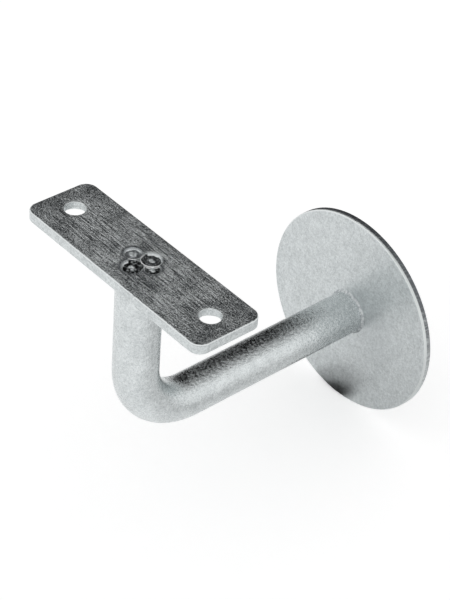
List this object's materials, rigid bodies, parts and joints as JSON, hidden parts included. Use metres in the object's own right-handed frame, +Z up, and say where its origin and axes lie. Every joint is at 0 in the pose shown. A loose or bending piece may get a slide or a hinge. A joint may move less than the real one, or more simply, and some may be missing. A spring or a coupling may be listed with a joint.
{
  "type": "handrail bracket",
  "caption": "Welded steel handrail bracket: a round bar bent to a right angle, with a wall disc at one end and a flat screw-on saddle plate for the rail at the other.",
  "frame": {"origin": "centre of the wall disc's back face, on the axis of the arm, at the mouth of the threaded hole", "axes": "+X out of the wall into the room, +Y along the handrail, +Z up, towards the rail"},
  "size_m": [0.088, 0.067, 0.082],
  "materials": {
    "bar_steel": "dull tumbled round bar",
    "disc_steel": "dull tumbled sheet, sheared rim",
    "plate_steel": "dull tumbled flat bar with fine scratches along it",
    "weld_metal": "rippled weld, darker in its craters"
  },
  "bodies": {
    "root": {"bent_arm": "bar_steel", "wall_disc": "disc_steel", "ring_weld": "weld_metal", "saddle_plate": "plate_steel", "plug_weld": "weld_metal"}
  },
  "joints": []
}
